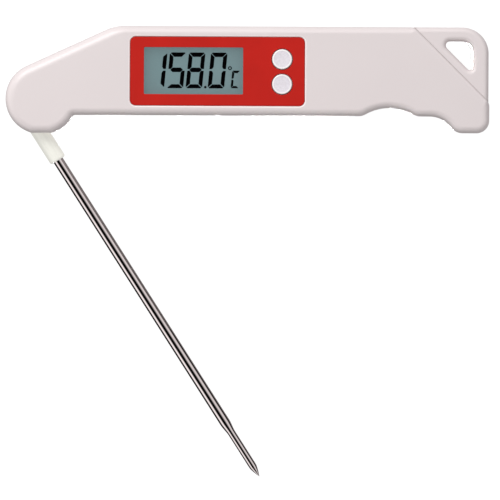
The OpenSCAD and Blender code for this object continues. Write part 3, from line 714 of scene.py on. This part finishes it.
def cut_back_openings(cover):
    for low, high in island_boxes("case_screws"):
        c = middle(low, high)
        cut(cover, flared_disc("screw_way", c.x, c.y, 0, SCREW_WAY_DEPTH, SCREW_WAY_R, SCREW_WAY_FLARE))
    for low, high in island_boxes("back_magnets"):
        c = middle(low, high)
        r = (high.x - low.x) / 2 + MAGNET_GAP
        cut(cover, flared_disc("magnet_way", c.x, c.y, 0, high.z, r, MAGNET_FLARE))
    c = middle(CAP_LOW, CAP_HIGH)
    cut(cover, flared_disc("cap_way", c.x, c.y, 0, CAP_SEAT_Z, CAP_R + CAP_GAP, CAP_FLARE))
    cut(cover, disc("cell_way", c.x, c.y, CELL_WAY_LOW, CELL_WAY_HIGH, CELL_WAY_R))


# ---------------------------------------------------------------- panel, display and keys

def build_panel():
    top, under = PANEL_HIGH.z, PANEL_LOW.z - 1
    rings = [(0, PANEL_LOW.z)] + rounding(PANEL_EDGE_R, top, 1, 3)
    panel = ring_stack("front_panel_face", rectangle_outline(PANEL_LOW, PANEL_HIGH, PANEL_R), rings)
    opening = hollow(rectangle_outline(WINDOW_LOW, WINDOW_HIGH, 0.35))
    cut(panel, ring_stack("opening", opening, [(0, under)] + past(rounding(OPENING_EDGE_R, top, 1, 3))))
    for centre in KEY_CENTRES:
        cut(panel, flared_disc("key_way", centre.x, centre.y, top, under, KEY_R + 0.24, OPENING_EDGE_R))
    weighted_normals(panel)
    dress(panel, "panel", "handle", "panel", "front_panel")


def plate(name, low, high, corner_r, edge_r, drop=0.0):
    """A flat plate with rounded corners and edges, whose top stays below the box's by drop."""
    rings = rounding(edge_r, low.z, -1, 2)[::-1] + rounding(edge_r, high.z - drop, 1, 2)
    return ring_stack(name, rectangle_outline(low, high, corner_r), rings)


def build_window():
    lens = plate("window_glass", LENS_LOW, LENS_HIGH, LENS_R, 0.12, drop=0.02)
    dress(lens, "window", "handle", "window", "display_window")


def build_lcd():
    dress(plate("lcd_panel", LCD_LOW, LCD_HIGH, 0.3, 0.15), "lcd", "handle", "lcd", "lcd_glass")


# Display: a generic temperature reading, "158.0" with a degree sign and a C. Its places are measured from the
# lower left of the window.
DIGIT_W, DIGIT_H = 5.3, 11.47
STROKE, STROKE_GAP = 1.28, 0.16
MIDDLE_RISE = 0.16               # of the middle stroke, above half the height
SLANT = math.tan(math.radians(5.3))
DIGITS_Y = 1.9
DIGITS_X = {"1": 1.14, "5": 7.22, "8": 13.3, "0": 20.36}
LIT = {"0": "abcdef", "1": "bc", "5": "acdfg", "8": "abcdefg", "C": "adef"}
UNIT_X, UNIT_Y, UNIT_W, UNIT_H, UNIT_STROKE, UNIT_GAP = 27.72, 1.98, 2.55, 5.65, 0.72, 0.06
POINT_X, POINT_Y, POINT_R = 19.65, 2.3, 0.42
RING_X, RING_Y, RING_R, RING_HOLE_R = 27.5, 8.4, 0.64, 0.3


def segment_shapes(w, h, t, g):
    """The seven strokes of a digit w wide and h high, t thick and g apart: pointed, with clipped corners."""
    mid = h / 2 + MIDDLE_RISE * h / DIGIT_H
    half = t * 0.56
    clip = t * 0.2
    upper = [(0, h - 2.2 * clip), (0.5 * clip, h - 1.5 * clip), (t, h - t - g), (t, mid + half + 1.6 * g),
             (0.7 * t, mid + 0.24 * t), (0.6 * clip, mid + 0.2 * t), (0, mid + 0.2 * t + 0.6 * clip)]
    lower = [(0, 2.2 * clip), (0.5 * clip, 1.5 * clip), (t, t + g), (t, mid - half - 1.6 * g),
             (0.7 * t, mid - 0.24 * t), (0.6 * clip, mid - 0.2 * t), (0, mid - 0.2 * t - 0.6 * clip)]

    def end_stroke(thick):
        return [(clip + 2 * g, h), (w - clip - 2 * g, h), (w - clip, h - 0.8 * clip), (w - t - g, h - thick),
                (t + g, h - thick), (clip, h - 0.8 * clip)]

    tip = 0.5 * t
    return {
        "a": end_stroke(1.1 * t),
        "b": [(w - x, y) for x, y in upper],
        "c": [(w - x, y) for x, y in lower],
        "d": [(x, h - y) for x, y in end_stroke(t)],
        "e": lower,
        "f": upper,
        "g": [(tip, mid), (half + tip, mid + half), (w - half - tip, mid + half),
              (w - tip, mid), (w - half - tip, mid - half), (half + tip, mid - half)],
    }


def prism(points, z0, z1, verts, faces):
    start, n = len(verts), len(points)
    area = sum(points[i][0] * points[(i + 1) % n][1] - points[(i + 1) % n][0] * points[i][1] for i in range(n))
    points = points if area > 0 else points[::-1]
    verts += [(x, y, z0) for x, y in points] + [(x, y, z1) for x, y in points]
    faces.append([start + i for i in range(n)][::-1])
    faces.append([start + n + i for i in range(n)])
    for i in range(n):
        j = (i + 1) % n
        faces.append((start + i, start + j, start + n + j, start + n + i))


def build_segments():
    """The lit strokes, as low prisms that stand a little out of the display glass."""
    verts, faces = [], []

    def add(points):
        placed = [(WINDOW_LOW.x + x, WINDOW_LOW.y + y) for x, y in points]
        prism(placed, LCD_HIGH.z - 0.05, LCD_HIGH.z + 0.03, verts, faces)

    def draw(symbol, x, y, w, h, t, g):
        for key in LIT[symbol]:
            add([(x + px + (py + y - DIGITS_Y) * SLANT, y + py) for px, py in segment_shapes(w, h, t, g)[key]])

    for symbol, x in DIGITS_X.items():
        draw(symbol, x, DIGITS_Y, DIGIT_W, DIGIT_H, STROKE, STROKE_GAP)
    draw("C", UNIT_X, UNIT_Y, UNIT_W, UNIT_H, UNIT_STROKE, UNIT_GAP)
    add([(POINT_X + POINT_R * cos_d(a), POINT_Y + POINT_R * sin_d(a)) for a in range(0, 360, 15)])
    for a in range(0, 360, 30):
        quad = ((RING_R, a), (RING_R, a + 30), (RING_HOLE_R, a + 30), (RING_HOLE_R, a))
        add([(RING_X + r * cos_d(b), RING_Y + r * sin_d(b)) for r, b in quad])
    dress(make_object("lcd_segments", verts, faces), "segments", "handle", "lcd")


def build_key(name, node, body):
    """A key with a rounded rim and a finely grained, slightly dished face; the rim's colour is made lighter as
    a painted highlight.
    """
    low, high = box_mm(node)
    c = middle(low, high)
    r, top = KEY_R, high.z
    foot, foot_r = low.z + 0.6, KEY_R + KEY_FLANGE
    rim = [(top - 0.5, r), (top - 0.26, r - 0.03), (top - 0.11, r - 0.1), (top - 0.03, r - 0.2),
           (top, r - 0.32), (top - 0.02, r - 0.44), (top - 0.06, r - 0.54)]
    face = [(top - 0.09, r - 0.8), (top - 0.14, r - 2.0), (top - 0.15, 0)]
    profile = [(low.z, 0), (low.z, foot_r), (foot, foot_r), (foot, r)] + rim + face
    key = turned(name, profile, upright(c.x, c.y))
    dress(key, "key_rim_highlight", body, "key", node)
    key.data.materials.append(MATERIALS["key_face"])
    for p in key.data.polygons:
        centre = p.center / MM
        if centre.z > top - 0.25 and math.hypot(centre.x - c.x, centre.y - c.y) < r - 0.52:
            p.material_index = 1


# ---------------------------------------------------------------- probe

SWAGE_BACK = 20.4                # how far before the point the tube starts to narrow
SWAGE_LENGTH = 4.0
NOSE_R = 0.16                    # of the point, before its last rounding


def build_probe_piece(name, profile, material, slot, node):
    dress(turned(name, profile, along_probe(AXIS_Y, AXIS_Z)), material, "probe", slot, node)


def build_collar():
    start, end, r = COLLAR_LOW.x, COLLAR_HIGH.x, COLLAR_R
    bore = TUBE_R + 0.02
    profile = [(start, bore), (start, r), (end - 0.7, r), (end - 0.45, r - 0.05), (end - 0.22, r - 0.18),
               (end - 0.07, r - 0.38), (end, r - 0.62), (end, bore), (start, bore)]
    build_probe_piece("collar_sleeve", profile, "collar", "collar", "probe_collar")


def build_tube():
    start, end = PROBE_LOW.x, PROBE_HIGH.x
    swage = TIP_HIGH.x - SWAGE_BACK
    profile = [(start, 0), (start, TUBE_R), (swage - 0.5, TUBE_R)]
    for k in range(9):                      # a soft S from the full diameter to the narrow one
        u = k / 8
        curve = 0.25 * u + 0.75 * u * u * (3 - 2 * u)
        profile.append((swage + SWAGE_LENGTH * u, TUBE_R + (TIP_R - TUBE_R) * curve))
    profile += [(swage + SWAGE_LENGTH + 0.5, TIP_R), (end - 0.12, TIP_R), (end, TIP_R - 0.05), (end, 0)]
    build_probe_piece("probe_shaft", profile, "tube", "polished_steel", "probe_tube")


def build_tip():
    base, point = PROBE_HIGH.x, TIP_HIGH.x
    neck, neck_r = base + 0.8, TIP_R - 0.12
    profile = [(base - 0.01, 0), (base, TIP_R - 0.05), (base + 0.12, TIP_R), (base + 0.45, TIP_R - 0.03),
               (neck, neck_r)]
    slope = point - 0.3 - neck
    for k in range(1, 11):                  # a point with gently curved sides
        u = k / 10
        profile.append((neck + slope * u, neck_r + (NOSE_R - neck_r) * (0.72 * u + 0.28 * u * u)))
    profile += [(point - 0.12, 0.13), (point - 0.03, 0.07), (point, 0)]
    build_probe_piece("probe_point", profile, "tube", "polished_steel", "probe_tip")


# ---------------------------------------------------------------- back of the handle

COIN_SLOT_X, COIN_SLOT_Y, COIN_SLOT_Z = 7, 0.9, 0.8    # half its length, half its width and its depth
COIN_SLOT_R = 0.88               # of its ends


def build_battery_cap():
    """The cap with a ring groove and a coin slot in its face, and a dot that shows which way it has turned."""
    c = middle(CAP_LOW, CAP_HIGH)
    r, top = CAP_R, CAP_HIGH.z
    flange_z, neck_r = 0.9, 9.9
    profile = [(top, 0), (top, neck_r), (flange_z, neck_r), (flange_z, r), (0.3, r), (0.09, r - 0.09),
               (0, r - 0.3), (0, 9.7), (0.12, 9.6), (0.12, 9.3), (0, 9.2), (0, 0)]
    cap = turned("cap_cover", profile, upright(c.x, c.y), 128)
    slot = rectangle_outline((c.x - COIN_SLOT_X, c.y - COIN_SLOT_Y), (c.x + COIN_SLOT_X, c.y + COIN_SLOT_Y),
                             COIN_SLOT_R)
    rings = past(rounding(0.15, 0, -1, 3))[::-1] + [(0, COIN_SLOT_Z)]
    cut(cap, ring_stack("coin_slot", hollow(slot), rings))
    cut(cap, flared_disc("mark", c.x, c.y + 6.4, 0, 0.35, 0.45, 0.12))
    weighted_normals(cap)
    dress(cap, "shell", "cap", "shell", "battery_cap")


def build_screws():
    """Countersunk screws with a cross slot."""
    heads = []
    for low, high in island_boxes("case_screws"):
        c = middle(low, high)
        r, z, tip = (high.x - low.x) / 2, low.z, high.z
        profile = [(z, 0), (z, r - 0.45), (z + 0.08, r - 0.3), (z + 1.5, r), (z + 1.5, 1.0), (tip - 0.8, 1.0),
                   (tip, 0.3), (tip, 0)]
        screw = turned("screw", profile, upright(c.x, c.y), 40)
        for w, h in ((1.15, 0.3), (0.3, 1.15)):
            cut(screw, block("cross", (c.x - w, c.y - h, z - 1), (c.x + w, c.y + h, z + 0.8)))
        heads.append(screw)
    dress(join("screw_set", heads), "steel", "handle", "steel", "case_screws")


def build_magnets():
    discs = []
    for low, high in island_boxes("back_magnets"):
        c = middle(low, high)
        r, z, top = (high.x - low.x) / 2, low.z, high.z
        profile = [(z, 0), (z, r - 0.25), (z + 0.08, r - 0.08), (z + 0.25, r), (top, r), (top, 0)]
        discs.append(turned("magnet", profile, upright(c.x, c.y), 64))
    dress(join("magnet_set", discs), "plated", "handle", "plated", "back_magnets")


# ---------------------------------------------------------------- CAD nodes that stay as they are

KEPT = {
    "lcd_frame": "frame", "zebra_strip": "rubber", "circuit_board": "board", "controller_chip": "black",
    "board_components": "plated", "reed_switch": "plated", "key_switches": "black", "board_screws": "steel",
    "coin_cell": "plated", "positive_contact": "brass", "negative_contact": "brass", "power_wires": "wire",
    "sensor_wires": "wire", "thrust_washer": "frame", "wave_spring": "steel", "cap_seal": "rubber",
    "upper_key_stem": "black", "lower_key_stem": "black", "probe_hub": "collar", "thermistor": "black",
    "sensor_leads": "lead", "hub_magnet": "plated",
}


def dress_kept_nodes():
    for node, material in KEPT.items():
        data = frame["nodes"][node].data
        data.materials.clear()
        data.materials.append(MATERIALS[material])


# ---------------------------------------------------------------- floor, light and camera

VIEW_CENTRE = (67.1, -48.2)      # middle of the picture, mm
VIEW_WIDTH = 160.0               # width of the picture at the handle, mm
VIEW_ROLL = 0.275                # degrees
CAMERA_HEIGHT = 6800.0           # mm
SENSOR = 36.0                    # mm
CLIP_END = 50                    # m

FLOOR_HALF = 1500                # half the side of the floor, mm
FLOOR_Z = -0.1                   # mm
FLOOR_GLOW, FLOOR_CAMERA_GLOW = 0.31, 0.66    # for all rays, and added for the camera
FLOOR_DARK, FLOOR_LIGHT = 0.13, 0.145         # its matt tone

SKY_LEVEL, SKY_UP, SKY_RIGHT = 0.6, 0.16, -0.06    # soft light at the middle, and its change along +Y and +X
BAND_TINT = (1, 0.975, 0.97)
LIT_APART = ("probe_shaft", "probe_point", "lcd_panel", "lcd_segments")    # pieces that the lamps leave out
# name, place and aim in mm, side in mm, power in W
LAMPS = [
    ("soft_box", (-250, 450, 550), (60, 0, 10), 350, 3.25),
    ("card_below", (60, 0, -1500), (60, 0, 0), 120, 12),
]

# What polished steel sees round it: brightness, by the angle in degrees from straight up, across the probe.
STUDIO_BANDS = [
    (-180, 0.1), (-172, 0.25), (-160, 0.2), (-150, 0.01), (-97, 0.0), (-92, 0.1), (-84, 0.9), (-62, 1.5),
    (-52, 1.1), (-41, 0.2), (-33, 0.0), (-5, 0.0), (6, 0.01), (15, 0.24), (27, 0.78), (42, 1.0), (56, 0.88),
    (65, 0.45), (74, 0.04), (100, 0.0), (112, 0.05), (130, 0.4), (152, 0.7), (168, 0.5), (180, 0.1),
]


def make_floor_material():
    """White to the camera, dimmer to all other rays, and clear from below, so that the back can be seen."""
    material, graph = new_material("floor_white")
    to_camera = graph.add("ShaderNodeLightPath").outputs["Is Camera Ray"]
    strength = graph.math("ADD", FLOOR_GLOW, graph.math("MULTIPLY", to_camera, FLOOR_CAMERA_GLOW))
    glow = graph.add("ShaderNodeEmission", Color=(1, 1, 1, 1), Strength=strength).outputs[0]
    tone = graph.ramp(noise(graph, 40, 2), [(0.3, (FLOOR_DARK,) * 3), (0.7, (FLOOR_LIGHT,) * 3)])
    matt = graph.add("ShaderNodeBsdfDiffuse", Color=tone).outputs[0]
    white = graph.add("ShaderNodeAddShader", glow, matt).outputs[0]
    below = graph.add("ShaderNodeNewGeometry").outputs["Backfacing"]
    clear = graph.add("ShaderNodeBsdfTransparent").outputs[0]
    seen = graph.add("ShaderNodeMixShader", below, white, clear).outputs[0]
    graph.add("ShaderNodeOutputMaterial", Surface=seen)
    return material


def build_floor():
    verts = [(x * FLOOR_HALF, y * FLOOR_HALF, FLOOR_Z) for x, y in ((-1, -1), (1, -1), (1, 1), (-1, 1))]
    floor = make_object("floor", verts, [(0, 1, 2, 3)])
    floor.data.materials.append(make_floor_material())
    floor.visible_shadow = False
    floor.visible_glossy = False


def studio_reflections(graph, place):
    """Stripes that run along the probe at rest, as bright and dark cards round it would show in it."""
    x, y, z = place
    across = graph.math("ADD", graph.math("MULTIPLY", x, math.sin(REST_ANGLE)),
                        graph.math("MULTIPLY", y, math.cos(REST_ANGLE)))
    angle = graph.math("ARCTAN2", across, z)
    turn = graph.math("DIVIDE", graph.math("ADD", angle, math.pi), 2 * math.pi)
    return graph.ramp(turn, [((math.radians(a) + math.pi) / (2 * math.pi), [v * c for c in BAND_TINT])
                             for a, v in STUDIO_BANDS])


def build_sky():
    """White to the camera, striped to reflections, and a soft even gradient to everything else."""
    world = bpy.data.worlds.new("studio")
    bpy.context.scene.world = world
    world.use_nodes = True
    graph = Graph(world.node_tree)
    place = graph.add("ShaderNodeTexCoord").outputs["Generated"]
    x, y, z = graph.add("ShaderNodeSeparateXYZ", Vector=place).outputs
    slope = graph.math("ADD", graph.math("MULTIPLY", y, SKY_UP), graph.math("MULTIPLY", x, SKY_RIGHT))
    soft = graph.math("ADD", SKY_LEVEL, slope)
    grey = graph.add("ShaderNodeCombineColor", Red=soft, Green=soft, Blue=soft).outputs[0]
    ray = graph.add("ShaderNodeLightPath").outputs
    seen = graph.mix(ray["Is Glossy Ray"], grey, studio_reflections(graph, (x, y, z)))
    seen = graph.mix(ray["Is Camera Ray"], seen, (1, 1, 1, 1))
    sky = graph.add("ShaderNodeBackground", Color=seen, Strength=1.0)
    graph.add("ShaderNodeOutputWorld", Surface=sky.outputs[0])


def build_lamp(name, at, aim, side, power):
    """A square soft box that lights every piece but the ones lit apart."""
    data = bpy.data.lights.new(name, "AREA")
    data.shape = "SQUARE"
    data.size = side * MM
    data.energy = power
    lamp = bpy.data.objects.new(name, data)
    lamp.location = Vector(at) * MM
    lamp.rotation_euler = (Vector(aim) - Vector(at)).to_track_quat("-Z", "Y").to_euler()
    bpy.context.scene.collection.objects.link(lamp)
    lit = bpy.data.collections.new(name + "_receivers")
    for obj in bpy.data.objects:
        if obj.type == "MESH" and obj.name not in LIT_APART:
            lit.objects.link(obj)
    lamp.light_linking.receiver_collection = lit


def build_camera():
    data = bpy.data.cameras.new("camera")
    data.sensor_width = SENSOR
    data.lens = SENSOR * (CAMERA_HEIGHT - FRONT_Z) / VIEW_WIDTH
    data.clip_end = CLIP_END
    camera = bpy.data.objects.new("camera", data)
    camera.location = Vector((*VIEW_CENTRE, CAMERA_HEIGHT)) * MM
    camera.rotation_euler = (0, 0, math.radians(VIEW_ROLL))
    bpy.context.scene.collection.objects.link(camera)
    bpy.context.scene.camera = camera
    bpy.context.scene.view_settings.view_transform = "Standard"


def main():
    build_front_cover()
    build_rear_cover()
    build_panel()
    build_window()
    build_lcd()
    build_segments()
    build_key("upper_key_cap", "upper_key", "upper_button")
    build_key("lower_key_cap", "lower_key", "lower_button")
    build_collar()
    build_tube()
    build_tip()
    build_battery_cap()
    build_screws()
    build_magnets()
    dress_kept_nodes()
    build_floor()
    build_sky()
    for lamp in LAMPS:
        build_lamp(*lamp)
    build_camera()


main()
